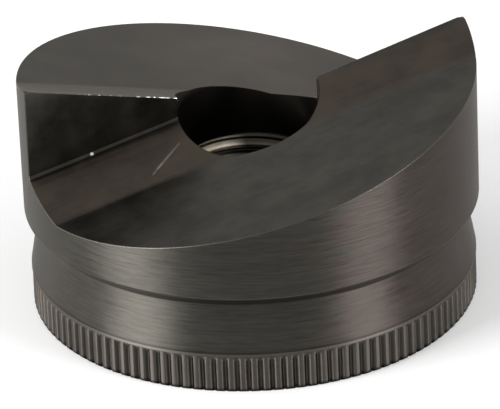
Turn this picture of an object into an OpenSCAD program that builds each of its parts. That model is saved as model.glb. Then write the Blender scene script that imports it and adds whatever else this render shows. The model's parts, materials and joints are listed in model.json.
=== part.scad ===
// Knockout punch of the slug-splitting kind
//
// One piece of blackened tool steel. It is turned to a waisted profile with a straight-knurled
// ring at the base, and its top is milled to two opposed ramps. The high end of each ramp is
// a cutting point, and the step from one ramp down to the other is a flat wall.
// The draw stud comes in from the top through a clearance bore and screws into the lower bore.
//
// Millimetres, Z up. The base lies on Z = 0, the bore on the Z axis, the points at +X and -X.

/* [Body] */
// Diameter over the cutting edge, which is the hole that it makes
cut_d = 61.5; // [55:0.5:70]
// Height over the two cutting points
overall_h = 35; // [33:0.5:40]
// Radial relief of the body at its foot, behind the cutting edge
relief = 0.15; // [0.05:0.05:0.4]

/* [Waist] */
// Depth of the waist below the foot of the body
waist_depth = 1.8; // [1:0.1:3]
// Height of the waist above the base
waist_z = 12.4; // [10:0.2:14]
// Slope of the shoulder above the waist
shoulder_angle = 45; // [35:1:55]

/* [Knurled ring] */
// How far the ring's radius lies below the cutting edge
ring_undersize = 0.75; // [0.3:0.05:1.2]
// Height of the ring, up to the edge of the cone above it
ring_h = 5.7; // [4:0.1:7]
// Height of the plain land above the knurl
ring_land = 0.35; // [0.2:0.05:0.8]
// Distance from one ridge to the next
knurl_pitch = 1.57; // [1.2:0.01:2.4]
// Depth of the grooves between the ridges
knurl_depth = 0.6; // [0.3:0.05:0.9]
// How far the ridges lie below the land
knurl_drop = 0.08; // [0.04:0.02:0.15]
// Width of the flat top of a ridge
knurl_flat = 0.7; // [0.3:0.05:0.8]
// Height over which each groove runs out at its upper end
knurl_runout = 1.0; // [0.6:0.1:1.6]
// Edge break round the base
base_break = 0.25; // [0.15:0.05:0.6]

/* [Cutting faces] */
// Slope of the two ramps
ramp_angle = 13.3; // [10:0.1:16]
// Slope of the bevel that rises from the high end of each ramp to its crest
bevel_angle = 15.7; // [8:0.1:20]
// Slope of the bevel that rises from the low end of each ramp to the other half's wall
low_bevel_angle = 22; // [14:0.1:25]
// Width of the bevel at the high end, from its crease to the middle plane
bevel_w = 7.75; // [6:0.05:8.8]
// How much wider the bevel at the low end is
low_bevel_extra = 0.1; // [0.05:0.05:0.4]
// How far the foot of each wall stands back from the middle plane
wall_setback = 0.6; // [0.5:0.05:1.4]
// Lean of each wall, which relieves it below the crest
wall_lean = 2.3; // [0:0.1:3]
// Fillet at the foot of each wall
wall_fillet = 0.5; // [0.3:0.1:2]
// Length of the flat left on each cutting point
tip_flat = 1.1; // [0.6:0.1:2]

/* [Bore] */
// Clearance bore for the draw stud, in the upper part
clear_d = 19.2; // [18.6:0.1:22]
// Lower bore, drilled for the stud's thread
tap_d = 17.5; // [15:0.1:18]
// Height of the threaded stretch, up to the step
thread_h = 18.4; // [15:0.2:20]
// Countersink at the mouth of the thread, in the base
mouth_d = 19.8; // [18.5:0.1:21]

/* [Hidden] */
$fn = 180;

// How far a cutter reaches past the metal that it takes away
over = 2;
// How far the fillet's round face dips past the faces beside it, so that it crosses them cleanly
dip = 0.01;

// Turned profile
cut_r = cut_d / 2;
foot_r = cut_r - relief;
waist_r = foot_r - waist_depth;
shoulder_z = waist_z + waist_depth * tan(shoulder_angle);
ring_r = cut_r - ring_undersize;

// Knurl
crest_r = ring_r - knurl_drop;
root_r = crest_r - knurl_depth;
core_r = root_r - knurl_depth;
knurl_top = ring_h - ring_land;
ridges = round(2 * PI * ring_r / knurl_pitch);
ridge_step = 360 / ridges;
flat_half = asin(knurl_flat / 2 / crest_r);
// The run-out cone climbs from the core to the land, and ends each groove where it comes out.
// The ridges stop inside it, half of their drop below the land.
runout_slope = knurl_runout / (ring_r - root_r);
runout_z = knurl_top - runout_slope * (ring_r - core_r);
ridge_top = knurl_top - runout_slope * knurl_drop / 2;

// Bevels and the foot of the wall, as a cutter's section sees them, square to the ramp
bevel_rise = tan(bevel_angle) * cos(ramp_angle);
low_rise = tan(low_bevel_angle) * cos(ramp_angle);
low_tilt = atan(low_rise);
low_bevel_w = bevel_w + low_bevel_extra;
foot_h = low_rise * (low_bevel_w + wall_setback);

// Ramps: the wall leans from its foot to the point, where its height over the opposite ramp and
// its distance from the middle plane follow from each other. The ramps' own height on the axis
// then follows from the height of the points.
point_x = cut_r - tip_flat;
point_h = 2 * point_x * sin(ramp_angle) + bevel_w * bevel_rise;
point_y = (wall_setback - tan(wall_lean) * (point_h - foot_h)) / (1 - tan(wall_lean) * bevel_rise);
crest_rise = (bevel_w - point_y) * tan(bevel_angle);
ramp_z = overall_h - point_x * tan(ramp_angle) - crest_rise;

cutter_h = overall_h;
cutter_w = cut_r + over;
cutter_l = cut_d;

// Bore
clear_r = clear_d / 2;
tap_r = tap_d / 2;
mouth_r = mouth_d / 2;
step_z = thread_h - (clear_r - tap_r);

// Half section of the turned blank, with only the core of the knurled stretch.
// The quarter turn, here and in the bore, keeps the seam of a round face away from the walls.
module blank() {
    rotate([0, 0, 90])
        rotate_extrude()
            polygon([
                [0, 0],
                [core_r, 0],
                [core_r, runout_z],
                [ring_r, knurl_top],
                [ring_r, ring_h],
                [waist_r, waist_z],
                [foot_r, shoulder_z],
                [cut_r, overall_h],
                [0, overall_h],
            ]);
}

// Straight ridges round the base, as one toothed section with its lower edge broken
module ridges() {
    section = [
        for (i = [0 : ridges - 1])
            for (corner = [[crest_r, -flat_half], [crest_r, flat_half], [root_r, ridge_step / 2]])
                let (a = i * ridge_step + corner[1])
                    corner[0] * [cos(a), sin(a)]
    ];
    intersection() {
        linear_extrude(ridge_top) polygon(section);
        rotate_extrude()
            polygon([
                [0, 0],
                [crest_r - base_break, 0],
                [crest_r + over, base_break + over],
                [crest_r + over, ring_h],
                [0, ring_h],
            ]);
    }
}

// What is open above a ramp and its bevel, seen along it, up to a side beyond the middle
module open_section(crease, rise, side, lean) {
    foot = [side, rise * (crease + side)];
    polygon([
        [-cutter_w, 0],
        [-crease, 0],
        foot,
        foot + cutter_h * [-tan(lean), 1],
        [-cutter_w, foot.y + cutter_h],
    ]);
}

// The corner that stays filled at the foot of the wall, with a round face.
// It reaches into the bevel and the wall, so that only the round face bounds the cut.
module foot_fillet() {
    corner = [wall_setback, foot_h];
    into_bevel = [sin(low_tilt), -cos(low_tilt)];
    into_wall = [cos(wall_lean), sin(wall_lean)];
    centre = corner - wall_fillet / cos(low_tilt - wall_lean)
        * [cos(low_tilt) + sin(wall_lean), sin(low_tilt) - cos(wall_lean)];
    reach = wall_fillet + over;
    difference() {
        polygon([
            centre,
            centre + reach * into_bevel,
            corner + over * (into_bevel + into_wall),
            centre + reach * into_wall,
        ]);
        translate(centre) circle(wall_fillet + dip);
    }
}

// A cut along the ramp, from one distance along it to another
module along_ramp(from, to) {
    translate([0, 0, ramp_z])
        rotate([0, -ramp_angle, 0])
            translate([from, 0, 0])
                rotate([90, 0, 90])
                    linear_extrude(to - from)
                        children();
}

// Milled space over one half: its low end ends at the other half's wall, its high end runs out
// past the crest. The two bevels change into each other inside the bore.
module ramp_cut() {
    along_ramp(-cutter_l, 0)
        difference() {
            open_section(low_bevel_w, low_rise, wall_setback, wall_lean);
            foot_fillet();
        }
    along_ramp(-over, cutter_l)
        open_section(bevel_w, bevel_rise, wall_setback + over, 0);
}

// Stepped bore: countersunk mouth, threaded stretch, lead-in cone, clearance for the stud
module bore() {
    rotate([0, 0, 90])
        rotate_extrude()
            polygon([
                [0, -over],
                [mouth_r + over, -over],
                [tap_r, mouth_r - tap_r],
                [tap_r, step_z],
                [clear_r, thread_h],
                [clear_r, overall_h + over],
                [0, overall_h + over],
            ]);
}

module punch() {
    color([0.24, 0.23, 0.22])
        difference() {
            union() {
                blank();
                ridges();
            }
            for (turn = [0, 180])
                rotate([0, 0, turn])
                    ramp_cut();
            bore();
        }
}

punch();
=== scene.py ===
# %% [markdown]
# # A knockout punch in blackened steel
#
# A knockout punch cuts round holes in sheet steel. A stud pulls it into a die, its two points
# bite first, and the slanting edges then shear the sheet and split the waste in two.
# The real one is turned from a bar, knurled at the base, milled on top, tapped and blackened.
# This lesson loads the plain solid as a frame and builds the dressed punch around the same sizes:
# rounded edges, a cut thread, rolled ridges, and a finish with its turning marks and wear.

# %% Load the frame
import json
import math

import bmesh
import bpy
import numpy as np
from mathutils import Matrix, Vector

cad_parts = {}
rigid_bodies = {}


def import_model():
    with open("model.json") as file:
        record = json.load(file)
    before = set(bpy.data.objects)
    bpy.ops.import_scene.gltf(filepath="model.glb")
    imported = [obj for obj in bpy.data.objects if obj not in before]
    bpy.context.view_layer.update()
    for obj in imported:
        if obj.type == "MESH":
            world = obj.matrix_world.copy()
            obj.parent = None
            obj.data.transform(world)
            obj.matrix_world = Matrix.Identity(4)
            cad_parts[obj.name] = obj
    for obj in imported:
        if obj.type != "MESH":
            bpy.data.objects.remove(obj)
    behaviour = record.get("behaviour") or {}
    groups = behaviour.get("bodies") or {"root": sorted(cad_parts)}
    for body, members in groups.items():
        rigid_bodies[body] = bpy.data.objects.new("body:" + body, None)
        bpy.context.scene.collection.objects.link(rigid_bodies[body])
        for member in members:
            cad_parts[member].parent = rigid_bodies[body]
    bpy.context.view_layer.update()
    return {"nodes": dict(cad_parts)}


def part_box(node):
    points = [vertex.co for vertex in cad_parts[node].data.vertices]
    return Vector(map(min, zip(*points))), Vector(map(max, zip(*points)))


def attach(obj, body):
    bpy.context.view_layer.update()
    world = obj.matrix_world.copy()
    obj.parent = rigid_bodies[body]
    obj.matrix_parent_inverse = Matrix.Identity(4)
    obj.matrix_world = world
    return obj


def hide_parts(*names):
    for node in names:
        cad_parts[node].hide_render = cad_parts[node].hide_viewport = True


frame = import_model()
lowest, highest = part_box("punch")
print("frame loaded, nodes:", sorted(frame["nodes"]))

# %% [markdown]
# ## Sizes
#
# The solid's own box gives the height. The other sizes are listed here, and the last line prints the
# cutting radius beside half the width of the box, to compare the two.
# Everything is worked out in millimetres, because a maker thinks in them, and one factor at
# the end turns the mesh into Blender's metres.

# %% Sizes of the punch in millimetres
MM = 0.001

OVERALL_H = (highest.z - lowest.z) / MM
CUT_R = 61.5 / 2
FOOT_RELIEF = 0.15
FOOT_R = CUT_R - FOOT_RELIEF
WAIST_DEPTH = 1.8
WAIST_R = FOOT_R - WAIST_DEPTH
WAIST_Z = 12.4
SHOULDER_Z = WAIST_Z + WAIST_DEPTH
RING_UNDERSIZE = 0.75
RING_R = CUT_R - RING_UNDERSIZE
RING_H = 5.7

RAMP_ANGLE = math.radians(13.3)
RAMP_SLOPE = math.tan(RAMP_ANGLE)
BEVEL_SLOPE = math.tan(math.radians(15.7))
BEVEL_W = 7.75
LOW_BEVEL_SLOPE = math.tan(math.radians(22.0))
LOW_BEVEL_W = 7.85
WALL_SETBACK = 0.6
WALL_LEAN = math.radians(2.3)
WALL_FILLET = 0.5
TIP_FLAT = 1.1
CLEAR_R = 9.6

half_width = (highest.x - lowest.x) / 2 / MM
print(f"height {OVERALL_H:.2f} mm, cutting radius {CUT_R:.2f} mm, half width {half_width:.2f} mm")

# %% [markdown]
# ## The camera
#
# The picture was taken from a little above and to the left of the front, from far away with a
# long lens, so the punch shows hardly any perspective. The camera is placed by its direction from
# the punch, then aimed a few millimetres low, and rolled a little, as a hand-held camera is.

# %% Camera
PICTURE_W = 500
SENSOR_W = 36.0
PIXELS_PER_MM = 7.451
CAMERA_AZIMUTH = math.radians(-16.89)
CAMERA_ELEVATION = math.radians(26.90)
CAMERA_ROLL = math.radians(2.48)
CAMERA_DISTANCE = 1052.0
LOOK_AT = Vector((0, 0, 18.0)) * MM
AIM_LOW = 4.881 * MM
AIM_LEFT = 0.047 * MM
FARTHEST_SEEN = 20.0
UP = Vector((0, 0, 1))


def direction(azimuth, elevation):
    """Unit vector towards a point at that azimuth, counted from the front, and elevation."""
    level = math.cos(elevation)
    return Vector((math.sin(azimuth) * level, -math.cos(azimuth) * level, math.sin(elevation)))


def facing_matrix(place, back, up):
    """Matrix of a camera or lamp at place, whose back points along back and its top near up."""
    back = back.normalized()
    right = up.cross(back).normalized()
    upright = back.cross(right)
    turn = Matrix((right, upright, back)).transposed().to_4x4()
    return Matrix.Translation(place) @ turn


towards_camera = direction(CAMERA_AZIMUTH, CAMERA_ELEVATION)
camera_place = LOOK_AT + towards_camera * CAMERA_DISTANCE * MM
level_right = UP.cross(towards_camera).normalized()
level_up = towards_camera.cross(level_right)
rolled_up = level_up * math.cos(CAMERA_ROLL) + level_right * math.sin(CAMERA_ROLL)
rolled_right = level_right * math.cos(CAMERA_ROLL) - level_up * math.sin(CAMERA_ROLL)
aim = LOOK_AT - rolled_up * AIM_LOW - rolled_right * AIM_LEFT

camera_data = bpy.data.cameras.new("camera")
camera_data.sensor_width = SENSOR_W
camera_data.lens = PIXELS_PER_MM * CAMERA_DISTANCE / PICTURE_W * SENSOR_W
camera_data.clip_end = FARTHEST_SEEN
camera = bpy.data.objects.new("camera", camera_data)
camera.matrix_world = facing_matrix(camera_place, camera_place - aim, rolled_up)
bpy.context.scene.collection.objects.link(camera)
bpy.context.scene.camera = camera
print(f"camera {CAMERA_DISTANCE:.0f} mm away with a {camera_data.lens:.0f} mm lens")

# %% [markdown]
# ## How the mesh is put together
#
# A boolean would be the quick way to cut the ramps and the bore, but its faces are slivers that
# shade badly once the edges are rounded. Here every face is laid out on purpose: each patch is an
# array of polygons given by their corner points, and at the end one welding step joins all
# the corners that share a place. The two halves of the top are the same shape half a turn apart,
# so only the front half is worked out, and its patches are turned for the back.

# %% Patches, and how one half becomes two
TURNED, MILLED, KNURLED, BORED, TAPPED, WORN = range(6)
patches = []


def half_turn(points):
    """The same points turned by half a turn about the axis: x and y change sign."""
    return points * np.array([-1.0, -1.0, 1.0])


def add_patch(polygons, finish):
    """Keep an array of polygons with equal numbers of corners, as (count, corners, 3)."""
    patches.append((polygons, finish))


def add_twice(polygons, finish):
    """Keep the polygons of the front half, and the same ones half a turn on."""
    add_patch(polygons, finish)
    add_patch(half_turn(polygons), finish)


def band(lower, upper):
    """Quads between two rows with equal numbers of points: one for each pair of neighbours."""
    return np.stack([lower[:-1], lower[1:], upper[1:], upper[:-1]], axis=1)


def plate(*rows):
    """One flat polygon whose outline runs along the rows one after the other."""
    return np.concatenate(rows)[None]


print(f"{WORN + 1} finishes, numbered from {TURNED}")

# %% [markdown]
# ## The cutting edge and the rim of the bore
#
# The cutting edge is where the milled top meets the turned body, and the rim is where it meets
# the bore. Both are found the same way: walk along the section of the milled top, from the wall
# over the fillet, the bevel and the ramp to the crest of the tooth, and at each step follow
# the ramp's direction outwards until it meets the round surface.

# %% Section of the milled top, from the wall to the crest
FILLET_STEPS = 6

ramp_cos = math.cos(RAMP_ANGLE)
ramp_sin = math.sin(RAMP_ANGLE)
low_tilt = math.atan(LOW_BEVEL_SLOPE * ramp_cos)
wall_foot_h = LOW_BEVEL_SLOPE * ramp_cos * (LOW_BEVEL_W + WALL_SETBACK)


def bevel_rise(y):
    """Height of the bevel at the high end above the plane of the ramp, which it leaves at -BEVEL_W."""
    return BEVEL_SLOPE * (y + BEVEL_W)


def low_bevel_rise(y):
    """The same at the low end, where the bevel is steeper and a little wider."""
    return LOW_BEVEL_SLOPE * (y + LOW_BEVEL_W)


def crest_y(x):
    """Distance of the crest from the middle plane, on the front tooth.

    The wall under the crest leans: square to the ramp behind it, it leaves its foot at WALL_SETBACK
    and comes nearer to the middle by the tangent of the lean for each millimetre of height.
    That height is 2 x sin(ramp) + the bevel's own rise, which depends on y again, so y is solved for.
    """
    lean = math.tan(WALL_LEAN)
    rise = BEVEL_SLOPE * ramp_cos
    height = 2 * x * ramp_sin + rise * BEVEL_W - wall_foot_h
    return (lean * height - WALL_SETBACK) / (1 - lean * rise)


def foot_section():
    """Points of the fillet from the wall down to the bevel, as y and height above the ramp.

    The section is square to the ramp, so heights in it are divided by the ramp's cosine. The
    centre lies one radius from the wall, and one radius from the bevel.
    """
    away = WALL_FILLET / math.cos(low_tilt - WALL_LEAN)
    centre_y = WALL_SETBACK - away * (math.cos(low_tilt) + math.sin(WALL_LEAN))
    centre_h = wall_foot_h - away * (math.sin(low_tilt) - math.cos(WALL_LEAN))
    turn = np.linspace(math.pi / 2 + WALL_LEAN, low_tilt, FILLET_STEPS + 1)
    y = centre_y + WALL_FILLET * np.sin(turn)
    rise = (centre_h - WALL_FILLET * np.cos(turn)) / ramp_cos
    return y, rise


POINT_X = CUT_R - TIP_FLAT
RAMP_Z = OVERALL_H - POINT_X * RAMP_SLOPE - bevel_rise(crest_y(POINT_X))
print(f"milled top: ramps {RAMP_Z:.2f} mm high on the axis")

# %% Where the section meets the round surfaces
SETTLING_ROUNDS = 6


def body_radius(z):
    """Radius of the turned body at a height: it widens a little from its foot to the points."""
    return FOOT_R + (CUT_R - FOOT_R) * (z - SHOULDER_Z) / (OVERALL_H - SHOULDER_Z)


def bore_radius(z):
    """Radius of the clearance bore, the same at every height."""
    return np.full_like(z, CLEAR_R)


def meet(y, rise, side, radius_at):
    """Points where lines along the ramp meet a round surface on one side of the punch.

    A line at y and rise has z = RAMP_Z + slope * x + rise, and meets the circle at
    x = side * sqrt(radius squared - y squared). A few rounds settle the radius, which depends on z.
    """
    z = np.full_like(y, OVERALL_H)
    for _ in range(SETTLING_ROUNDS):
        x = side * np.sqrt(radius_at(z) ** 2 - y ** 2)
        z = RAMP_Z + RAMP_SLOPE * x + rise
    return np.stack([x, y, z], axis=1)


def ramp_arc(start, end, steps, radius_at):
    """Points of the ramp's round edge between two of its points, evenly spaced in angle.

    At an angle the height is RAMP_Z + slope * radius * cos(angle), settled in the same way.
    """
    first = math.atan2(start[1], start[0]) % math.tau
    last = math.atan2(end[1], end[0]) % math.tau
    angle = np.linspace(first, last, steps + 1)[1:-1]
    z = np.full_like(angle, RAMP_Z)
    for _ in range(SETTLING_ROUNDS):
        radius = radius_at(z)
        z = RAMP_Z + RAMP_SLOPE * radius * np.cos(angle)
    return np.stack([radius * np.cos(angle), radius * np.sin(angle), z], axis=1)


foot_and_top = body_radius(np.array([SHOULDER_Z, OVERALL_H]))
print("body radius at its foot and at the points:", foot_and_top.round(2))

# %% The two edge lines of the front half
BEVEL_STEPS = 12
EDGE_STEPS = 84
RIM_STEPS = 30

fillet_y, fillet_rise = foot_section()
low_bevel_y = np.linspace(fillet_y[-1], -LOW_BEVEL_W, BEVEL_STEPS + 1)

# The flat on the point starts where the bevel reaches the full height on the body: with
# drop = height left above the bevel's plane, (slope x)^2 = (drop - bevel y)^2 on the circle.
drop = OVERALL_H - RAMP_Z - bevel_rise(0.0)
slopes = RAMP_SLOPE ** 2 + BEVEL_SLOPE ** 2
spread = (drop * BEVEL_SLOPE) ** 2 - slopes * (drop ** 2 - (RAMP_SLOPE * CUT_R) ** 2)
tip_y = (drop * BEVEL_SLOPE - math.sqrt(spread)) / slopes
edge_high_y = np.linspace(-BEVEL_W, tip_y, BEVEL_STEPS + 1)
rim_high_y = np.linspace(-BEVEL_W, crest_y(CLEAR_R), BEVEL_STEPS + 1)

edge_fillet = meet(fillet_y, fillet_rise, -1, body_radius)
edge_low = meet(low_bevel_y, low_bevel_rise(low_bevel_y), -1, body_radius)
edge_high = meet(edge_high_y, bevel_rise(edge_high_y), 1, body_radius)
edge_ramp = ramp_arc(edge_low[-1], edge_high[0], EDGE_STEPS, body_radius)

rim_fillet = meet(fillet_y, fillet_rise, -1, bore_radius)
rim_low = meet(low_bevel_y, low_bevel_rise(low_bevel_y), -1, bore_radius)
rim_high = meet(rim_high_y, bevel_rise(rim_high_y), 1, bore_radius)
rim_ramp = ramp_arc(rim_low[-1], rim_high[0], RIM_STEPS, bore_radius)

# Flat on the point: an arc at full height that ends at the wall. Its middle point stays ahead of
# the wall's foot, so that the columns of the body keep their order under the leaning wall.
flat_y = np.array([tip_y, (tip_y - WALL_SETBACK) / 2, crest_y(POINT_X)])
flat_z = np.full_like(flat_y, OVERALL_H)
edge_flat = np.stack([np.sqrt(CUT_R ** 2 - flat_y ** 2), flat_y, flat_z], axis=1)
edge_high[-1] = edge_flat[0]

cutting_edge = np.concatenate([edge_fillet, edge_low[1:], edge_ramp, edge_high, edge_flat[1:]])
bore_rim = np.concatenate([rim_fillet, rim_low[1:], rim_ramp, rim_high])
print(f"cutting edge {len(cutting_edge)} points, rim {len(bore_rim)} points in each half")

# %% [markdown]
# ## The milled top
#
# An end mill leaves flat faces, so each one is a single flat polygon, whatever its outline:
# the ramp, the bevel on the low and on the high side, the wall and the small flat on the point.
# Only the fillet at the foot of the wall is curved, and it is a band of quads from rim to edge.
# The crest is split into short edges, so that its worn round is made of short faces.

# %% Ramp, bevels, fillet, wall and point
CREST_STEPS = 60

crest_x = np.linspace(POINT_X, rim_high[-1, 0], CREST_STEPS + 1)
crest_z = RAMP_Z + RAMP_SLOPE * crest_x + bevel_rise(crest_y(crest_x))
crest = np.stack([crest_x, crest_y(crest_x), crest_z], axis=1)
crest[-1] = rim_high[-1]

ramp_outer = (edge_low[-1:], edge_ramp, edge_high[:1])
ramp_inner = (rim_high[:1], rim_ramp[::-1], rim_low[-1:])
add_twice(plate(*ramp_outer, *ramp_inner), MILLED)
add_twice(plate(edge_low, rim_low[::-1]), MILLED)
add_twice(plate(edge_high, crest, rim_high[-2::-1]), MILLED)
add_twice(plate(edge_flat, crest[:1]), MILLED)
add_twice(band(edge_fillet, rim_fillet), MILLED)

# The wall stands under the crest of the other tooth, which is this half's crest turned round
other_crest = half_turn(crest)
other_tip = half_turn(edge_flat[-1:])
add_twice(plate(edge_fillet[:1], other_tip, other_crest, rim_fillet[:1]), MILLED)
print(f"crest {-crest[-1, 1]:.2f} to {-crest[0, 1]:.2f} mm from the middle plane")

# %% [markdown]
# ## The turned body
#
# The lathe makes rings: the body under the cutting edge, the shoulder, the waist and the cone down
# to the base ring. Their corners sit under the points of the cutting edge, so that one tall
# quad reaches from ring to ring. Tall quads on a cone are truly flat, and shade without ripples.

# %% Body, shoulder, waist and cone
RING_LAND = 0.35
KNURL_TOP = RING_H - RING_LAND


def at_angles(angle, radius, z):
    """Points on a circle about the axis, at the angles and at one height."""
    return np.stack([radius * np.cos(angle), radius * np.sin(angle), np.full_like(angle, z)], axis=1)


def half_ring(angle, radius, z):
    """Points of half a circle at the angles. The last one is the first one, turned by half a turn."""
    ring = at_angles(angle, radius, z)
    ring[-1] = half_turn(ring[0])
    return ring


def half_angles(line):
    """Angles of a line of points round half the punch, with the last one half a turn on."""
    angle = np.unwrap(np.arctan2(line[:, 1], line[:, 0]))
    angle[-1] = angle[0] + math.pi
    return angle


def add_upright_wall(foot, line, finish):
    """Faces from half a ring up to a line above it, in both halves.

    They are quads, one for each column. The last column also holds the foot of the leaning wall,
    where the other half's line starts, so it is a polygon with five corners.
    """
    other_start = half_turn(line[:1])
    add_twice(band(foot[:-1], line[:-1]), finish)
    add_twice(plate(foot[-2:], other_start, line[-1:], line[-2:-1]), finish)


def whole_ring(half):
    """A full ring from the points of its front half, without the one that both halves share."""
    return np.concatenate([half[:-1], half_turn(half[:-1])])


edge_angle = half_angles(cutting_edge)
foot_half = half_ring(edge_angle, FOOT_R, SHOULDER_Z)
waist_half = half_ring(edge_angle, WAIST_R, WAIST_Z)
ring_top_half = half_ring(edge_angle, RING_R, RING_H)
land_half = half_ring(edge_angle, RING_R, KNURL_TOP)

add_upright_wall(foot_half, cutting_edge, TURNED)
add_twice(band(waist_half, foot_half), TURNED)
add_twice(band(ring_top_half, waist_half), TURNED)
add_twice(band(land_half, ring_top_half), TURNED)
land_ring = whole_ring(land_half)
print(f"turned body: {len(land_ring)} columns")

# %% [markdown]
# ## The knurled ring
#
# A straight knurl gives the hand a grip. Its ridges are rolled into the ring, and each groove runs
# out in a slope just below a plain land. As a surface it is one radius for every angle and height:
# a soft wave with flat tops round the ring, cut back by the break at the base, and never below the
# run-out cone. Thin strips of triangles join it to rings with another number of points.

# %% Knurl surface
RIDGES = 120
RIDGE_DROP = 0.08
RIDGE_FLAT = 0.5
ROLLED_DEPTH = 0.5
RUNOUT_DEPTH = 0.6
RUNOUT_H = 1.0
BASE_BREAK = 0.35
CREST_R = RING_R - RIDGE_DROP
RUNOUT_SLOPE = RUNOUT_H / (RIDGE_DROP + RUNOUT_DEPTH)
# Columns of points from the middle of a ridge towards the groove, in pitches
RIDGE_COLUMNS = np.array([0.0, 0.14, 0.22, 0.3, 0.4])
# Rows of points: over the break at the base, and over the upper end of the grooves
BREAK_ROWS = np.array([0.0, 0.08, 0.17, 0.25, 0.45])
RUNOUT_ROWS = np.linspace(4.1, KNURL_TOP, 14)

pitch = math.tau * CREST_R / RIDGES
one_side = RIDGE_COLUMNS * pitch
one_ridge = np.concatenate([-one_side[:0:-1], one_side, [pitch / 2]])


def ridge_profile(distance):
    """How far the surface lies below the ridge at a distance from its middle, along the ring.

    Rolling leaves the ridges nearly flat on top and the grooves round at the bottom. From the end of
    the flat to the middle of the groove, the depth follows the soft step 3 t^2 - 2 t^3.
    """
    t = np.clip((np.abs(distance) - RIDGE_FLAT / 2) / (pitch / 2 - RIDGE_FLAT / 2), 0, 1)
    return ROLLED_DEPTH * (3 * t ** 2 - 2 * t ** 3)


knurl_angle = (np.arange(RIDGES)[:, None] * pitch + one_ridge[None, :]).ravel() / CREST_R
knurl_wave = np.tile(ridge_profile(one_ridge), RIDGES)
knurl_z = np.concatenate([BREAK_ROWS, RUNOUT_ROWS])[:, None]

wave_r = np.minimum(CREST_R - knurl_wave[None, :], CREST_R - BASE_BREAK + knurl_z)
cone_r = RING_R - (KNURL_TOP - knurl_z) / RUNOUT_SLOPE
knurl_r = np.maximum(wave_r, cone_r)
knurl_r[-1] = RING_R
knurl_x = knurl_r * np.cos(knurl_angle)
knurl_y = knurl_r * np.sin(knurl_angle)
knurl_rows = np.stack([knurl_x, knurl_y, np.broadcast_to(knurl_z, knurl_r.shape)], axis=2)
print(f"knurl: {RIDGES} ridges, {pitch:.2f} mm apart, {knurl_r.size} points")


# %% Joining the knurl to the land
def grid_quads(rows):
    """Quads of a grid of points, from each row to the next and each column to the next."""
    quads = np.stack([rows[:-1, :-1], rows[:-1, 1:], rows[1:, 1:], rows[1:, :-1]], axis=2)
    return quads.reshape(-1, 4, 3)


def by_angle(ring):
    """The ring's angles from 0 to a full turn in rising order, and its points in that order."""
    angle = np.arctan2(ring[:, 1], ring[:, 0]) % math.tau
    order = np.argsort(angle)
    return angle[order], ring[order]


def stitch(ring_a, ring_b):
    """Triangles between two closed rings that have different numbers of points.

    Each side of a ring makes one triangle with the point of the other ring that lies opposite:
    the one whose place in the order of side middles is the same.
    """
    angle_a, a = by_angle(ring_a)
    angle_b, b = by_angle(ring_b)
    middle_a = (angle_a + np.append(angle_a[1:], angle_a[0] + math.tau)) / 2
    middle_b = (angle_b + np.append(angle_b[1:], angle_b[0] + math.tau)) / 2
    opposite_a = np.searchsorted(middle_b, middle_a, side="left") % len(b)
    opposite_b = np.searchsorted(middle_a, middle_b, side="right") % len(a)
    on_a = np.stack([a, np.roll(a, -1, axis=0), b[opposite_a]], axis=1)
    on_b = np.stack([np.roll(b, -1, axis=0), b, a[opposite_b]], axis=1)
    return np.concatenate([on_a, on_b])


# The first column comes again at the end, which closes the ring
add_patch(grid_quads(np.concatenate([knurl_rows, knurl_rows[:, :1]], axis=1)), KNURLED)
land_strip = stitch(knurl_rows[-1], land_ring)
add_patch(land_strip, KNURLED)
print(f"land: joined to the knurl by {len(land_strip)} triangles")

# %% [markdown]
# ## The bore and its thread
#
# The stud's thread is a 3/4 inch, 16 turns to the inch. A screw modifier could sweep its profile,
# but the ends would need trimming. Here the rows of the grid climb like the thread itself, one
# pitch in a turn, so the flanks stay crisp, and rows that would leave the bore are pressed flat
# against its ends, where the welding step drops what has collapsed. The countersinks win over the
# thread by taking the larger radius.

# %% Thread and countersinks
THREAD_PITCH = 25.4 / 16
THREAD_MAJOR = 9.525
THREAD_MINOR = 8.75
THREAD_H = 18.4
MOUTH_R = 9.9
STEP_Z = THREAD_H - (CLEAR_R - THREAD_MINOR)
THREAD_COLUMNS = 144
# Where a flank starts and ends, and where the rows of points lie, in pitches from the root's middle
FLANK_START = 1 / 16
FLANK_END = 3 / 8
ROW_PHASES = np.array([0.0, 0.0625, 0.15, 0.25, 0.375, 0.5, 0.625, 0.75, 0.85, 0.9375])


def thread_radius(phase):
    """Radius over one pitch: the root in the middle of phase 0, the crest in that of 0.5.

    The root is an eighth of the pitch wide, the crest a quarter, and the flanks are straight.
    """
    away = np.abs((phase + 0.5) % 1.0 - 0.5)
    flank = np.clip((away - FLANK_START) / (FLANK_END - FLANK_START), 0, 1)
    return THREAD_MAJOR + (THREAD_MINOR - THREAD_MAJOR) * flank


turns = np.arange(-1, math.ceil(THREAD_H / THREAD_PITCH) + 1)
row_phase = (turns[:, None] + ROW_PHASES[None, :]).reshape(-1, 1)
column_turn = np.linspace(0, 1, THREAD_COLUMNS + 1)
thread_angle = column_turn * math.tau
thread_z = np.clip((row_phase + column_turn[None, :]) * THREAD_PITCH, 0, THREAD_H)
thread_r = np.maximum(thread_radius(row_phase), MOUTH_R - thread_z)
thread_r = np.maximum(thread_r, THREAD_MINOR + thread_z - STEP_Z)
thread_x = thread_r * np.cos(thread_angle)
thread_y = thread_r * np.sin(thread_angle)
add_patch(grid_quads(np.stack([thread_x, thread_y, thread_z], axis=2)), TAPPED)
print(f"thread: {THREAD_H / THREAD_PITCH:.1f} turns, {thread_z.size} points")

# %% Base and clearance bore
BORE_FOOT_Z = THREAD_H + 0.3

mouth_ring = at_angles(thread_angle[:-1], MOUTH_R, 0.0)
thread_top = at_angles(thread_angle[:-1], CLEAR_R, THREAD_H)
add_patch(stitch(knurl_rows[0], mouth_ring), TURNED)

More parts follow.
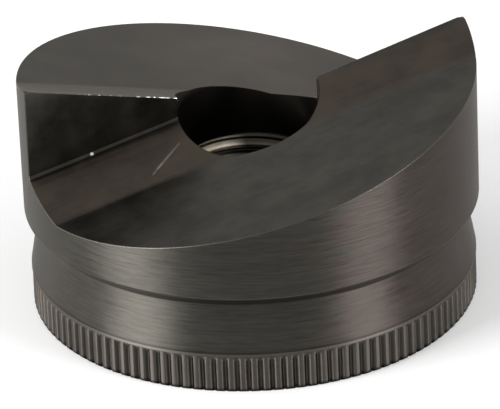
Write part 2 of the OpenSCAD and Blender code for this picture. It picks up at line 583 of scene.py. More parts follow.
bore_foot_half = half_ring(half_angles(bore_rim), CLEAR_R, BORE_FOOT_Z)
add_upright_wall(bore_foot_half, bore_rim, BORED)
add_patch(stitch(thread_top, whole_ring(bore_foot_half)), BORED)
print(f"clearance bore: from {BORE_FOOT_Z:.1f} mm up to the rim")

# %% [markdown]
# ## Welding the patches
#
# Corners that share a place become one vertex: their positions are rounded to a ten-thousandth of
# a millimetre, and equal ones get one number. The lines of the edges go through the same step, so
# each of them knows the vertices that it runs through, and they can be rounded and marked later.

# %% Edge lines, and the weld
WELD_STEPS_PER_MM = 1e4
FULL_ROUND = 1.0
RIM_ROUND = 0.8

crest_line = np.concatenate([edge_flat[-1:], crest])
wall_side = np.concatenate([edge_fillet[:1], other_tip])
rim_side = np.concatenate([rim_fillet[:1], other_crest[-1:]])
bevel_lines = {
    "cutting edge": (cutting_edge, FULL_ROUND),
    "wall side": (wall_side, FULL_ROUND),
    "crest": (crest_line, FULL_ROUND),
    "bore rim": (bore_rim, RIM_ROUND),
    "rim beside the wall": (rim_side, RIM_ROUND),
    "shoulder": (foot_half, FULL_ROUND),
}
sharp_lines = {
    "low crease": np.stack([edge_low[-1], rim_low[-1]]),
    "high crease": np.stack([edge_high[0], rim_high[0]]),
    "flat on the point": np.stack([edge_flat[0], crest[0]]),
    "waist": waist_half,
    "ring": ring_top_half,
    "land": land_half,
}

soup = [polygons.reshape(-1, 3) for polygons, _ in patches]
lines = [line for line, _ in bevel_lines.values()] + list(sharp_lines.values())
lines = lines + [half_turn(line) for line in lines]
everything = np.concatenate(soup + lines)
steps = np.round(everything * WELD_STEPS_PER_MM).astype(np.int64)
_, first_seen, number = np.unique(steps, axis=0, return_index=True, return_inverse=True)
points = everything[first_seen]
starts = np.cumsum([0] + [len(part) for part in soup + lines])
numbered = [number.ravel()[a:b] for a, b in zip(starts[:-1], starts[1:])]
print(f"welded {len(everything)} corners to {len(points)} points")


# %% Faces of the welded mesh
def whole_faces(corners):
    """Faces with no corner twice: quads as they are, and triangles from quads with one short side."""
    short = corners == np.roll(corners, -1, axis=1)
    shorts = short.sum(axis=1)
    whole = corners[shorts == 0]
    if corners.shape[1] != 4:
        return [whole]
    kept = (np.argmax(short[shorts == 1], axis=1)[:, None] + np.array([1, 2, 3])) % 4
    return [whole, np.take_along_axis(corners[shorts == 1], kept, axis=1)]


face_groups = []
for (polygons, finish), corners in zip(patches, numbered):
    for faces in whole_faces(corners.reshape(polygons.shape[:2])):
        face_groups.append((faces, finish))

corner_list = np.concatenate([faces.ravel() for faces, _ in face_groups])
corner_counts = np.concatenate([np.full(len(faces), faces.shape[1]) for faces, _ in face_groups])
face_finish = np.concatenate([np.full(len(faces), finish) for faces, finish in face_groups])
face_starts = np.cumsum(corner_counts) - corner_counts
print(f"{len(corner_counts)} faces with {len(corner_list)} corners")

# %% The mesh
mesh = bpy.data.meshes.new("dressed_punch")
mesh.vertices.add(len(points))
mesh.vertices.foreach_set("co", (points * MM).astype(np.float32).ravel())
mesh.loops.add(len(corner_list))
mesh.loops.foreach_set("vertex_index", corner_list.astype(np.int32))
mesh.polygons.add(len(corner_counts))
mesh.polygons.foreach_set("loop_start", face_starts.astype(np.int32))
mesh.polygons.foreach_set("material_index", face_finish.astype(np.int32))
mesh.update(calc_edges=True)
mesh.validate()

shell = bmesh.new()
shell.from_mesh(mesh)
bmesh.ops.recalc_face_normals(shell, faces=shell.faces)
open_edges = sum(not edge.is_manifold for edge in shell.edges)
volume = shell.calc_volume() / MM ** 3
shell.to_mesh(mesh)
shell.free()
mesh.polygons.foreach_set("use_smooth", np.ones(len(mesh.polygons), bool))
print(f"mesh: {len(mesh.polygons)} faces, {open_edges} open edges, {volume:.0f} cubic mm")

# %% [markdown]
# ## Rounded edges
#
# No real edge is a line: grinding, blackening and use leave a small round that catches the light.
# A Bevel modifier makes it, limited to the edges that carry a weight. The creases that stay crisp
# are marked sharp, and Weighted Normal then keeps the big faces flat up to the rounds.

# %% Weights and marks on the edges
edge_ends = np.empty(len(mesh.edges) * 2, np.int32)
mesh.edges.foreach_get("vertices", edge_ends)


def edge_keys(ends):
    """One number for each pair of vertices, whichever comes first: low number * count + high one."""
    ordered = np.sort(ends, axis=1).astype(np.int64)
    return ordered[:, 0] * len(points) + ordered[:, 1]


mesh_keys = edge_keys(edge_ends.reshape(-1, 2))
key_order = np.argsort(mesh_keys)


def edges_along(line):
    """Numbers of the mesh edges that a line of vertices runs along, one for each of its steps."""
    key = edge_keys(np.stack([line[:-1], line[1:]], axis=1))
    place = np.searchsorted(mesh_keys[key_order], key)
    found = key_order[np.minimum(place, len(mesh_keys) - 1)]
    return found[mesh_keys[found] == key]


line_numbers = numbered[len(soup):]
line_weights = [weight for _, weight in bevel_lines.values()] + [0.0] * len(sharp_lines)
bevel_weight = np.zeros(len(mesh.edges), np.float32)
sharp = np.zeros(len(mesh.edges), bool)
for line, weight in zip(line_numbers, line_weights * 2):
    along = edges_along(line)
    if weight:
        bevel_weight[along] = weight
    else:
        sharp[along] = True
mesh.attributes.new("bevel_weight_edge", "FLOAT", "EDGE").data.foreach_set("value", bevel_weight)
mesh.attributes.new("sharp_edge", "BOOLEAN", "EDGE").data.foreach_set("value", sharp)
print(f"{np.count_nonzero(bevel_weight)} edges to round, {np.count_nonzero(sharp)} kept sharp")

# %% The punch object and its modifiers
EDGE_ROUND = 0.13 * MM
ROUND_SEGMENTS = 3

punch = bpy.data.objects.new("dressed_punch", mesh)
bpy.context.scene.collection.objects.link(punch)

rounding = punch.modifiers.new("edge rounds", "BEVEL")
rounding.limit_method = "WEIGHT"
rounding.width = EDGE_ROUND
rounding.segments = ROUND_SEGMENTS
rounding.material = WORN
rounding.use_clamp_overlap = True
normals = punch.modifiers.new("flat faces", "WEIGHTED_NORMAL")
normals.keep_sharp = True

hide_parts("punch")
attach(punch, "root")
print(f"{punch.name}: edges rounded by {EDGE_ROUND / MM:.2f} mm")

# %% [markdown]
# ## Finishes
#
# Black oxide is a thin dark skin on the steel. It keeps the sheen of the metal under it, so what
# one sees is mostly reflection, shaped by the marks of the tool: round the axis on turned faces,
# straight on milled ones. A painted image would need the faces laid out flat. Noise and distances
# on object coordinates need no layout and show no seam, so every finish here is made of them.
# The helpers take lengths in millimetres, and noise in cells per metre.


# %% Node helpers
def new_node(tree, kind, inputs=None, **settings):
    """Add one node: settings are its own properties, inputs its sockets by name or number.

    A socket gets a link when the value is another node's output, and a plain value otherwise.
    """
    made = tree.nodes.new(kind)
    for name, value in settings.items():
        setattr(made, name, value)
    for name, value in (inputs or {}).items():
        socket = made.inputs[name]
        if isinstance(value, bpy.types.NodeSocket):
            tree.links.new(value, socket)
        else:
            socket.default_value = value
    return made


def new_finish(name):
    """An empty node material, its node tree and its output."""
    material = bpy.data.materials.new(name)
    material.use_nodes = True
    material.node_tree.nodes.clear()
    return material, material.node_tree, new_node(material.node_tree, "ShaderNodeOutputMaterial")


def object_place(tree):
    """The place of a point in the coordinates of its object, in metres."""
    return new_node(tree, "ShaderNodeTexCoord").outputs["Object"]


# %% Arithmetic on values and places
def math_node(tree, operation, first, second):
    """One arithmetic step on two values."""
    return new_node(tree, "ShaderNodeMath", {0: first, 1: second}, operation=operation).outputs[0]


def plus(tree, first, second):
    """The sum of two values."""
    return math_node(tree, "ADD", first, second)


def times(tree, first, second):
    """The product of two values."""
    return math_node(tree, "MULTIPLY", first, second)


def size_of(tree, value):
    """A value without its sign."""
    return new_node(tree, "ShaderNodeMath", {0: value}, operation="ABSOLUTE").outputs[0]


def vector_node(tree, operation, first, second=(0, 0, 0)):
    """One step of arithmetic on two vectors, as the node's outputs."""
    return new_node(tree, "ShaderNodeVectorMath", {0: first, 1: second}, operation=operation).outputs


def coordinates(tree, place):
    """The three coordinates of a place as separate values."""
    parts = new_node(tree, "ShaderNodeSeparateXYZ", {"Vector": place}).outputs
    return parts["X"], parts["Y"], parts["Z"]


def from_axis(tree, place):
    """Distance of a place from the axis: the length of its vector once z is set to 0."""
    level = vector_node(tree, "MULTIPLY", place, (1, 1, 0))["Vector"]
    return vector_node(tree, "LENGTH", level)["Value"]


def distance_to(tree, place, point):
    """Distance of a place from a fixed point, which is given in millimetres."""
    return vector_node(tree, "DISTANCE", place, Vector(point) * MM)["Value"]


# %% Noise, masks and mixed colours
def grain(tree, place, scale, detail, rough):
    """Noise whose scale, in cells per metre, differs along x, y and z."""
    stretched = new_node(tree, "ShaderNodeMapping", {"Vector": place, "Scale": scale}).outputs["Vector"]
    inputs = {"Vector": stretched, "Scale": 1.0, "Detail": detail, "Roughness": rough}
    return new_node(tree, "ShaderNodeTexNoise", inputs).outputs["Fac"]


def remap(tree, value, low, high, to_low, to_high):
    """Carry a value in a straight line from one range to another, and hold it at the ends."""
    inputs = {"Value": value, 1: low, 2: high, 3: to_low, 4: to_high}
    return new_node(tree, "ShaderNodeMapRange", inputs).outputs["Result"]


def fade(tree, length, start, end, level=1.0):
    """From 0 at one length to a level at another, in millimetres. Either may be the longer one."""
    return remap(tree, length, start * MM, end * MM, 0, level)


def window(tree, length, near, far, level=1.0):
    """The level between two edges. Each edge is the pair of lengths that it fades over, outer first."""
    return times(tree, fade(tree, length, *near), fade(tree, length, *far, level))


def mix_colours(tree, factor, first, second):
    """The first colour where the factor is 0, the second where it is 1, and a mix between."""
    mixer = new_node(tree, "ShaderNodeMix", {0: factor, 6: first, 7: second}, data_type="RGBA")
    return mixer.outputs[2]


# %% Colours that several finishes share, and the metal itself
OXIDE_DARK = (0.036, 0.034, 0.0295, 1)
OXIDE_LIGHT = (0.054, 0.051, 0.0445, 1)
OXIDE_BROWN = (0.060, 0.044, 0.035, 1)
# Pale colour of the worn edge rounds, also used for the painted highlight on the land
PALE_WEAR_AND_HIGHLIGHT = (0.092, 0.0825, 0.0735, 1)
BARE_STEEL = (0.58, 0.55, 0.50, 1)
# Dark colour for painted shade: above the ring, under the shoulder, in the fillets, at the base of the
# knurl and on the bore's rim
PAINTED_SHADE = (0.008, 0.007, 0.006, 1)
GLANCING_TINT = (0.78, 0.76, 0.74, 1)

MIDDLE_TONES = (0.3, 0.7)
MARK_DEPTH = 0.02 * MM


def add_metal(tree, output, colour, rough, more=None):
    """Dark metal with the given colour and roughness, a little duller than pure metal at a glance."""
    inputs = {"Base Color": colour, "Metallic": 1.0, "Roughness": rough, "Specular Tint": GLANCING_TINT}
    shader = new_node(tree, "ShaderNodeBsdfPrincipled", {**inputs, **(more or {})})
    tree.links.new(shader.outputs["BSDF"], output.inputs["Surface"])


def marked_normal(tree, marks, strength):
    """The surface's direction, disturbed by the marks of a tool."""
    inputs = {"Height": marks, "Strength": strength, "Distance": MARK_DEPTH}
    return new_node(tree, "ShaderNodeBump", inputs).outputs["Normal"]


def tall_gloss(tree, stretch):
    """Inputs that stretch the gloss along the axis, so that a low lamp draws a tall glint."""
    axis = new_node(tree, "ShaderNodeCombineXYZ", {"Z": 1.0}).outputs["Vector"]
    return {"Anisotropic": stretch, "Tangent": axis}


def give_finish(material):
    """Put a finish into the punch's next material slot: they come in the order of their numbers."""
    mesh.materials.append(material)
    print(f"finish {len(mesh.materials) - 1}: {material.name}, {len(material.node_tree.nodes)} nodes")


# %% [markdown]
# ## Turned faces
#
# The body, the waist and the cone show the lathe's work: fine rings round the axis, and the short
# strokes of the cloth that rubbed them down. Real grooves would take millions of faces, so noise
# stretched along the rings gives the tone and a slight bump. One side of the body is browner, the
# land above the knurl is painted paler as a highlight, and painted shade darkens the cone just
# above the ring and the corner under the shoulder.

# %% Turned black oxide
TURNED_DARK = (0.030, 0.0285, 0.025, 1)
TURNED_LIGHT = (0.060, 0.0565, 0.0495, 1)
TURNED_TINT = (0.92, 0.90, 0.88, 1)
TURNED_ROUGH = (0.44, 0.54)
TURNED_TONES = (0.34, 0.66)
WARM_DARK = (0.030, 0.0248, 0.0222, 1)
WARM_LIGHT = (0.060, 0.0490, 0.0440, 1)

# Noises: their scale along x, y and z, detail and roughness, and their share in the tone
RING_MARKS = ((45, 45, 5200), 3, 0.65)
RING_SHARE = 0.35
CLOTH_STROKES = ((280, 280, 3800), 2, 0.6)
STROKE_SHARE = 0.45
TURNED_CLOUDS = ((160, 160, 260), 4, 0.6)
TURNED_CLOUD_SHARE = 0.2
RING_BUMP = 0.3
TURNED_STRETCH = 0.9

# The browner side, along x: where it starts and is full, how ragged its border is, and its level
WARM_SIDE = (-2, 6)
WARM_RAGGED = 6 * MM
WARM_LEVEL = 0.8

# Bands round the body: the fades of their lower and of their upper edge, and their level
# Painted highlight: the land above the knurl, paler
LAND_HIGHLIGHT_BAND = ((4.9, 5.2), (RING_H, RING_H - 0.06), 0.7)
# Painted shade: a dark line on the cone just above the ring
RING_SHADE_BAND = ((RING_H - 0.02, RING_H + 0.05), (RING_H + 0.45, RING_H + 0.15), 0.45)
# Painted shade: the corner under the shoulder
SHOULDER_SHADE_BAND = ((12.5, 12.9), (14.2, 13.8), 0.75)


def turned_finish(name):
    """Black oxide over turning marks.

    The tone is the weighted sum of rings, strokes and clouds. It picks the colour between dark and
    light, once plain and once warm, and the warm one fades in along x with a border that the clouds
    make ragged. Then come three bands in z: a painted highlight on the land, a painted shade line
    over it, and painted shade in the corner under the shoulder.
    """
    material, tree, output = new_finish(name)
    place = object_place(tree)
    x, _, z = coordinates(tree, place)
    rings = grain(tree, place, *RING_MARKS)
    strokes = grain(tree, place, *CLOTH_STROKES)
    clouds = grain(tree, place, *TURNED_CLOUDS)
    tone = plus(tree, times(tree, rings, RING_SHARE), times(tree, strokes, STROKE_SHARE))
    tone = plus(tree, tone, times(tree, clouds, TURNED_CLOUD_SHARE))
    light = remap(tree, tone, *TURNED_TONES, 0, 1)
    plain = mix_colours(tree, light, TURNED_DARK, TURNED_LIGHT)
    warm = mix_colours(tree, light, WARM_DARK, WARM_LIGHT)
    ragged_x = plus(tree, x, remap(tree, clouds, *MIDDLE_TONES, -WARM_RAGGED, WARM_RAGGED))
    colour = mix_colours(tree, fade(tree, ragged_x, *WARM_SIDE, WARM_LEVEL), plain, warm)
    # Painted highlight on the land
    colour = mix_colours(tree, window(tree, z, *LAND_HIGHLIGHT_BAND), colour, PALE_WEAR_AND_HIGHLIGHT)
    # Painted shade line just above the ring
    colour = mix_colours(tree, window(tree, z, *RING_SHADE_BAND), colour, PAINTED_SHADE)
    # Painted shade under the shoulder
    colour = mix_colours(tree, window(tree, z, *SHOULDER_SHADE_BAND), colour, PAINTED_SHADE)
    rough = remap(tree, tone, *MIDDLE_TONES, *TURNED_ROUGH)
    more = {"Specular Tint": TURNED_TINT, "Normal": marked_normal(tree, rings, RING_BUMP)}
    add_metal(tree, output, colour, rough, {**more, **tall_gloss(tree, TURNED_STRETCH)})
    return material


give_finish(turned_finish("turned black oxide"))

# %% [markdown]
# ## Milled faces
#
# The milled faces are smoother and show clouds in the oxide: brown along the bevels, a paler bloom
# on the back ramp, an oily spot beside the bore. Use has left a scratch and a speck of bare steel
# on the left, and painted shade darkens the fillet. Each of these is a mask from 0 to 1 that mixes
# in its colour.
# The product of x and y tells the sides apart: the bevels at the low ends have it positive, and the
# walls and the bevels at the high ends negative, on both halves alike.

# %% Stains on the milled faces
SQUARE_MM = MM * MM

# The bloom's place, and the distances where it starts and is full
BLOOM = (7.0, 19.0, 24.4)
BLOOM_FADE = (19, 6)
BLOOM_PATCHES = ((95, 95, 95), 3, 0.5)
BLOOM_TONES = (0.35, 0.60)
BLOOM_LEVELS = (0.35, 1)

# Distances from the middle plane where the brown starts and is full, and where the wall keeps it off
BROWN_FADE = (8.6, 7.0)
OFF_WALL_FADE = (0.8, 1.4)
BELOW_WALL_FADE = (-2 * SQUARE_MM, 1 * SQUARE_MM)

# Heights over the foot of the wall, and distances from the middle plane, between which shade is painted
CORNER_H_FADE = (0.8, 0.5)
CORNER_Y_FADE = (0.8, 0.6)
CORNER_SIDE_FADE = (-1 * SQUARE_MM, -2.5 * SQUARE_MM)
CORNER_SHADE = 0.4
WALL_FOOT_Z = RAMP_Z + low_bevel_rise(0.0)


def bloom_mask(tree, place):
    """A round cloud that fades with the distance from its middle, made patchy by noise."""
    near = fade(tree, distance_to(tree, place, BLOOM), *BLOOM_FADE)
    patchy = remap(tree, grain(tree, place, *BLOOM_PATCHES), *BLOOM_TONES, *BLOOM_LEVELS)
    return times(tree, near, patchy)


def brown_mask(tree, off_middle, side):
    """The strip along the middle plane without the walls, but with the bevels at the low ends."""
    off_wall = fade(tree, off_middle, *OFF_WALL_FADE)
    below_wall = remap(tree, side, *BELOW_WALL_FADE, 0, 1)
    kept = math_node(tree, "MAXIMUM", off_wall, below_wall)
    return times(tree, fade(tree, off_middle, *BROWN_FADE), kept)


def corner_shade_mask(tree, x, z, off_middle, side):
    """Painted shade in the fillets: just above the line z + slope * |x| = foot of the wall, and close
    to the middle.
    """
    above_ramp = plus(tree, z, times(tree, size_of(tree, x), RAMP_SLOPE))
    highest_dirt, full_dirt = CORNER_H_FADE
    low_down = fade(tree, above_ramp, WALL_FOOT_Z + highest_dirt, WALL_FOOT_Z + full_dirt, CORNER_SHADE)
    close_by = fade(tree, off_middle, *CORNER_Y_FADE)
    under_wall = remap(tree, side, *CORNER_SIDE_FADE, 0, 1)
    return times(tree, times(tree, low_down, close_by), under_wall)


print(f"stains: the line of the walls' feet is {WALL_FOOT_Z:.2f} mm high on the axis")

# %% Scratch on the left ramp
# As seen from above: its ends, the fades of its sides and ends, and what is left at its end
SCRATCH_START = Vector((-15.55, -6.18, 0)) * MM
SCRATCH_END = Vector((-10.36, -2.91, 0)) * MM
SCRATCH_SIDE_FADE = (0.20, 0.08)
SCRATCH_END_FADE = 0.4 * MM
SCRATCH_TAIL = 0.2
SCRATCH_BREAKS = ((900, 900, 900), 2, 0.5)
SCRATCH_TONES = (0.38, 0.52)
SCRATCH_LEVELS = (0.06, 0.26)

scratch_way = (SCRATCH_END - SCRATCH_START).normalized()
scratch_length = (SCRATCH_END - SCRATCH_START).length


def scratch_mask(tree, place):
    """A straight scratch between its two ends, seen from above.

    With u the distance along it and v across it, both as dot products, it is strong where |v| is
    small and |u - half the length| is less than half the length, and it weakens as u grows.
    """
    across = Vector((-scratch_way.y, scratch_way.x, 0))
    half = scratch_length / 2
    from_start = vector_node(tree, "SUBTRACT", place, SCRATCH_START)["Vector"]
    u = vector_node(tree, "DOT_PRODUCT", from_start, scratch_way)["Value"]
    v = vector_node(tree, "DOT_PRODUCT", from_start, across)["Value"]
    on_line = fade(tree, size_of(tree, v), *SCRATCH_SIDE_FADE)
    from_middle = size_of(tree, math_node(tree, "SUBTRACT", u, half))
    between = remap(tree, from_middle, half, half - SCRATCH_END_FADE, 0, 1)
    weakening = remap(tree, u, 0, scratch_length, 1, SCRATCH_TAIL)
    broken = remap(tree, grain(tree, place, *SCRATCH_BREAKS), *SCRATCH_TONES, *SCRATCH_LEVELS)
    return times(tree, times(tree, times(tree, on_line, between), weakening), broken)


print(f"scratch: {scratch_length / MM:.1f} mm long")

# %% Milled black oxide
OXIDE_BLOOM = (0.072, 0.063, 0.058, 1)
OXIDE_OLIVE = (0.050, 0.046, 0.028, 1)
MILL_MARKS = ((90, 2600, 90), 3, 0.6)
MILL_SHARE = 0.3
MILL_CLOUDS = ((220, 220, 220), 5, 0.6)
MILL_CLOUD_SHARE = 0.7
MILLED_TONES = (0.40, 0.60)
MILLED_ROUGH = (0.33, 0.43)
MILL_BUMP = 0.2

# Places of the oily spot and of the speck, with the distances where they start and are full
OIL_SPOT = (-8.4, -5.0, 25.0)
OIL_FADE = (2.4, 0.4, 0.8)
SPECK = (-21.8, 0.45, 24.1)
SPECK_FADE = (0.3, 0.15)

# The walls are smoother than the rest, and the bevels at the low ends rougher
WALL_SMOOTH_FADE = (1.4, 1.0, 0.08)
LOW_BEVEL_SIDE_FADE = (3 * SQUARE_MM, 8 * SQUARE_MM)
LOW_BEVEL_FADE = (8.1, 7.7)
LOW_BEVEL_ROUGHER = 0.16


def milled_finish(name):
    """Black oxide over milling.

    The tone is the weighted sum of straight marks along x and clouds, between a dark and a light
    oxide. The bloom, the brown strips, the painted shade in the fillets, the oily spot, the scratch and
    the speck are mixed over it in that order.
    """
    material, tree, output = new_finish(name)
    place = object_place(tree)
    x, y, z = coordinates(tree, place)
    off_middle = size_of(tree, y)
    side = times(tree, x, y)
    marks = grain(tree, place, *MILL_MARKS)
    clouds = grain(tree, place, *MILL_CLOUDS)
    tone = plus(tree, times(tree, marks, MILL_SHARE), times(tree, clouds, MILL_CLOUD_SHARE))
    brown = times(tree, brown_mask(tree, off_middle, side), clouds)
    corner = corner_shade_mask(tree, x, z, off_middle, side)
    oily = fade(tree, distance_to(tree, place, OIL_SPOT), *OIL_FADE)
    speck = fade(tree, distance_to(tree, place, SPECK), *SPECK_FADE)
    colour = mix_colours(tree, remap(tree, tone, *MILLED_TONES, 0, 1), OXIDE_DARK, OXIDE_LIGHT)
    colour = mix_colours(tree, bloom_mask(tree, place), colour, OXIDE_BLOOM)
    colour = mix_colours(tree, brown, colour, OXIDE_BROWN)
    # Painted shade in the fillets
    colour = mix_colours(tree, corner, colour, PAINTED_SHADE)
    colour = mix_colours(tree, oily, colour, OXIDE_OLIVE)
    colour = mix_colours(tree, scratch_mask(tree, place), colour, BARE_STEEL)
    colour = mix_colours(tree, speck, colour, BARE_STEEL)
    low_bevel = remap(tree, side, *LOW_BEVEL_SIDE_FADE, 0, 1)
    low_bevel = times(tree, low_bevel, fade(tree, off_middle, *LOW_BEVEL_FADE))
    rough = remap(tree, tone, *MIDDLE_TONES, *MILLED_ROUGH)
    rough = math_node(tree, "SUBTRACT", rough, fade(tree, off_middle, *WALL_SMOOTH_FADE))
    rough = plus(tree, rough, times(tree, low_bevel, LOW_BEVEL_ROUGHER))
    add_metal(tree, output, colour, rough, {"Normal": marked_normal(tree, marks, MILL_BUMP)})
    return material


give_finish(milled_finish("milled black oxide"))

# %% [markdown]
# ## Knurl, bore and thread
#
# Hands rub the ridges a little paler than the grooves, and painted shade darkens the lowest edge.
# The bore is black with oil, and browner near its rim. The stud has rubbed the crests of the thread
# bright, and a painted highlight brightens its upper turns on the left, where the light falls.
# A paint by hand could do it, but all three follow from the place alone: from the distance from the
# axis, and from the height.

# %% Knurled black oxide
RIDGE_TOP = (0.064, 0.057, 0.050, 1)
RIDGE_CLOUDS = ((500, 500, 500), 4, 0.6)
RIDGE_UNEVEN = 0.2
RIDGE_TONES = (0.1, 0.95)
RIDGE_ROUGH = (0.44, 0.54)
RIDGE_STRETCH = 0.75
# Painted shade at the base: the heights where it starts and where it is full
BASE_SHADE_FADE = (0.7, 0.3)


def knurled_finish(name):
    """Black oxide on the ridges.

    The height between groove and ridge, from 0 to 1, is made uneven by clouds and picks the colour
    between the dark grooves and the paler tops. Close to the base it turns dark with painted shade.
    """
    material, tree, output = new_finish(name)
    place = object_place(tree)
    _, _, z = coordinates(tree, place)
    clouds = grain(tree, place, *RIDGE_CLOUDS)
    height = fade(tree, from_axis(tree, place), CREST_R - ROLLED_DEPTH, CREST_R)
    uneven = remap(tree, clouds, *MIDDLE_TONES, -RIDGE_UNEVEN, RIDGE_UNEVEN)
    pale_share = remap(tree, plus(tree, height, uneven), *RIDGE_TONES, 0, 1)
    colour = mix_colours(tree, pale_share, OXIDE_DARK, RIDGE_TOP)
    # Painted shade close to the base
    colour = mix_colours(tree, fade(tree, z, *BASE_SHADE_FADE), colour, PAINTED_SHADE)
    rough = remap(tree, clouds, *MIDDLE_TONES, *RIDGE_ROUGH)
    add_metal(tree, output, colour, rough, tall_gloss(tree, RIDGE_STRETCH))
    return material


give_finish(knurled_finish("rubbed knurl"))

# %% Black bore
BORE_BLACK = (0.075, 0.072, 0.064, 1)
BORE_ROUGH = (0.26, 0.45)
BROWN_RIM_FADE = (26.2, 27.5)


def bored_finish(name):
    """The drilled wall of the clearance bore: oily below, brown and rougher towards the rim."""
    material, tree, output = new_finish(name)
    _, _, z = coordinates(tree, object_place(tree))
    upper = fade(tree, z, *BROWN_RIM_FADE)
    colour = mix_colours(tree, upper, BORE_BLACK, OXIDE_BROWN)
    add_metal(tree, output, colour, remap(tree, upper, 0, 1, *BORE_ROUGH))
    return material


give_finish(bored_finish("black bore"))

# %% Rubbed thread
THREAD_DARK = (0.020, 0.017, 0.014, 1)
# Bright colour of the worn crests, and of the painted highlight on the thread
THREAD_WEAR_AND_HIGHLIGHT = (0.80, 0.71, 0.58, 1)
THREAD_CLOUDS = ((300, 300, 700), 4, 0.6)
THREAD_TONES = (0.35, 0.6)
THREAD_CLOUD_LEVELS = (0.5, 1)
THREAD_ROUGH = (0.32, 0.45)
# Where the thread is pale least and most: worn bright by distance from the axis, and a painted
# highlight along x and by height
CREST_REACH = (9.6 * MM, 8.8 * MM, 0.15, 1)
LIT_SIDE_REACH = (2.2 * MM, -0.8 * MM, 0.08, 1)
LIT_UPPER_REACH = (15.6 * MM, 16.8 * MM, 0.04, 1)


def tapped_finish(name):
    """Dark thread, rubbed bright on the crests by the stud, with a painted highlight on the left side
    and
    the upper turns where light falls: the product of how near to the crest, to the left side and to
    the upper turns a place is, and of clouds, mixes in the bright colour.
    """
    material, tree, output = new_finish(name)
    place = object_place(tree)
    x, _, z = coordinates(tree, place)
    clouds = grain(tree, place, *THREAD_CLOUDS)
    near_crest = remap(tree, from_axis(tree, place), *CREST_REACH)
    # Painted highlight: only on the left side and the upper turns
    pale_share = times(tree, near_crest, remap(tree, x, *LIT_SIDE_REACH))
    pale_share = times(tree, pale_share, remap(tree, z, *LIT_UPPER_REACH))
    pale_share = times(tree, pale_share, remap(tree, clouds, *THREAD_TONES, *THREAD_CLOUD_LEVELS))
    colour = mix_colours(tree, pale_share, THREAD_DARK, THREAD_WEAR_AND_HIGHLIGHT)
    add_metal(tree, output, colour, remap(tree, clouds, *MIDDLE_TONES, *THREAD_ROUGH))
    return material


give_finish(tapped_finish("tapped steel"))

# %% [markdown]
# ## Worn edges
#
# The rounds of the edges have a finish of their own, which the Bevel modifier gives them. The oxide
# is thin there, and the crest that splits the waste is nicked down to bare steel. The nicks could be
# cut into the mesh, but they are smaller than the round itself, so a noise along x picks their places.

# %% Worn edge
WORN_PATCHES = ((900, 900, 900), 4, 0.7)
WORN_TONES = (0.55, 0.75)
WORN_LEVEL = 0.5
WORN_ROUGH = (0.42, 0.34)
# Painted shade on the bore's rim: distances from the axis where it starts and is full
RIM_SHADE_FADE = (10.4, 9.9)

NICK_ROW = ((1500, 0, 0), 1, 0.5)
# Distances along x where the nicks stop and are full, with their level, and the noise that makes one
CLOSE_NICKS_FADE = (14.4, 13.4)
CLOSE_NICK_TONES = (0.46, 0.52)
SINGLE_NICKS_FADE = (23.5, 22.5, 0.35)
SINGLE_NICK_TONES = (0.55, 0.59)
# The right crest has fewer nicks, and on both they stay on the crest itself
NICKED_SIDE = (-1 * MM, 1 * MM, 1, 0.2)
BELOW_CREST_FADE = (-0.4, -0.2)
CREST_Y_FADE = (1.0, 0.8)

crest_slope = (crest[0, 2] - crest[-1, 2]) / (crest[0, 0] - crest[-1, 0])
crest_height = crest[0, 2] - crest_slope * crest[0, 0]


def nick_mask(tree, place):
    """Nicks on the crests: close together near the bore, and faint single ones further out.

    A nick is where the noise along x is high. It counts only near the line of the crest, which has
    z = height + slope * |x|, and near the middle plane.
    """
    x, y, z = coordinates(tree, place)
    from_bore = size_of(tree, x)
    row = grain(tree, place, *NICK_ROW)
    close = remap(tree, row, *CLOSE_NICK_TONES, 0, 1)
    close = times(tree, fade(tree, from_bore, *CLOSE_NICKS_FADE), close)
    single = remap(tree, row, *SINGLE_NICK_TONES, 0, 1)
    single = times(tree, fade(tree, from_bore, *SINGLE_NICKS_FADE), single)
    nicks = times(tree, math_node(tree, "MAXIMUM", close, single), remap(tree, x, *NICKED_SIDE))
    above = math_node(tree, "SUBTRACT", z, times(tree, from_bore, crest_slope))
    lowest_nick, full_nick = BELOW_CREST_FADE
    on_crest = fade(tree, above, crest_height + lowest_nick, crest_height + full_nick)
    on_crest = times(tree, on_crest, fade(tree, size_of(tree, y), *CREST_Y_FADE))
    return times(tree, nicks, on_crest)


def worn_finish(name):
    """The rounds of the edges: thin oxide in patches, painted shade on the bore's rim, and bare nicks.
    """
    material, tree, output = new_finish(name)
    place = object_place(tree)
    patchy = grain(tree, place, *WORN_PATCHES)
    colour = mix_colours(tree, remap(tree, patchy, *WORN_TONES, 0, WORN_LEVEL), OXIDE_LIGHT, PALE_WEAR_AND_HIGHLIGHT)
    # Painted shade on the bore's rim
    colour = mix_colours(tree, fade(tree, from_axis(tree, place), *RIM_SHADE_FADE), colour, PAINTED_SHADE)
    colour = mix_colours(tree, nick_mask(tree, place), colour, BARE_STEEL)
    add_metal(tree, output, colour, remap(tree, patchy, *MIDDLE_TONES, *WORN_ROUGH))
    return material


give_finish(worn_finish("worn edge"))

# %% [markdown]
# ## Floor and light
#
# The punch stands on a white table, between two soft boxes that draw the long glints on its sides.
# Each has a wide, weak fill beside it for the edge of the punch. All four lamps stand low, because
# a low lamp is bright in the steel and still leaves the table at a plain level. The table and the
# sky are white for what looks straight at them or mirrors them, and the table takes the shadow.

# %% Table
TABLE_HALF = 3.0
TABLE_WHITE = (0.9, 0.9, 0.9, 1)
TABLE_GLOW = 0.1
WHITE = (1, 1, 1, 1)


def looked_at(tree):
    """1 for a ray from the camera, a mirror or glass, and 0 for light that spreads."""
    ray = new_node(tree, "ShaderNodeLightPath").outputs
    mirrored = plus(tree, ray["Is Glossy Ray"], ray["Is Transmission Ray"])
    return plus(tree, ray["Is Camera Ray"], mirrored)


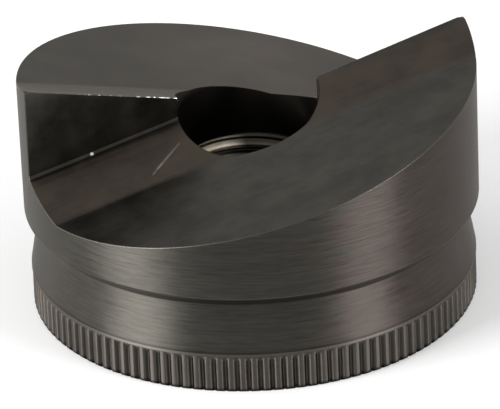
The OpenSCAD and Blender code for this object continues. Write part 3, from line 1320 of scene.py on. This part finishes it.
def table_finish(name):
    """Matt white that takes shadows, with some light of its own for what looks straight at it."""
    material, tree, output = new_finish(name)
    glow = times(tree, looked_at(tree), TABLE_GLOW)
    matt = new_node(tree, "ShaderNodeBsdfDiffuse", {"Color": TABLE_WHITE}).outputs["BSDF"]
    own = new_node(tree, "ShaderNodeEmission", {"Color": WHITE, "Strength": glow}).outputs["Emission"]
    both = new_node(tree, "ShaderNodeAddShader", {0: matt, 1: own}).outputs["Shader"]
    tree.links.new(both, output.inputs["Surface"])
    return material


table_corners = np.array([(-1, -1, 0), (1, -1, 0), (1, 1, 0), (-1, 1, 0)]) * TABLE_HALF
table_mesh = bpy.data.meshes.new("table")
table_mesh.from_pydata(table_corners.tolist(), [], [(0, 1, 2, 3)])
table_mesh.materials.append(table_finish("white table"))
table = bpy.data.objects.new("table", table_mesh)
bpy.context.scene.collection.objects.link(table)
print(f"table: {2 * TABLE_HALF:.0f} m wide")

# %% Sky
SKY_LIGHT = 0.55

bpy.context.scene.view_settings.view_transform = "Standard"
world = bpy.data.worlds.new("studio")
world.use_nodes = True
world.node_tree.nodes.clear()
sky_output = new_node(world.node_tree, "ShaderNodeOutputWorld")
sky_strength = math_node(world.node_tree, "MAXIMUM", looked_at(world.node_tree), SKY_LIGHT)
sky = new_node(world.node_tree, "ShaderNodeBackground", {"Color": WHITE, "Strength": sky_strength})
world.node_tree.links.new(sky.outputs["Background"], sky_output.inputs["Surface"])
bpy.context.scene.world = world
print(f"sky: white, and {SKY_LIGHT} of that as light")

# %% Soft boxes
LAMP_ELEVATION = math.radians(10)
LAMP_DISTANCE = 0.8
LAMP_H = 0.28
# Azimuth from the camera in degrees, width in metres, and radiance
SOFT_BOXES = {
    "left soft box": (-60, 0.42, 36.0),
    "left fill": (-108, 0.8, 4.0),
    "right soft box": (56, 0.36, 22.0),
    "right fill": (105, 0.8, 2.2),
}


def soft_box(name, azimuth, width, radiance):
    """A rectangular lamp aimed at the punch; its power is radiance times pi times its area."""
    lamp = bpy.data.lights.new(name, "AREA")
    lamp.shape = "RECTANGLE"
    lamp.size = width
    lamp.size_y = LAMP_H
    lamp.energy = radiance * math.pi * width * LAMP_H
    box = bpy.data.objects.new(name, lamp)
    back = direction(CAMERA_AZIMUTH + math.radians(azimuth), LAMP_ELEVATION)
    box.matrix_world = facing_matrix(LOOK_AT + back * LAMP_DISTANCE, back, UP)
    bpy.context.scene.collection.objects.link(box)


for name, (azimuth, width, radiance) in SOFT_BOXES.items():
    soft_box(name, azimuth, width, radiance)
print("lamps:", sorted(SOFT_BOXES))
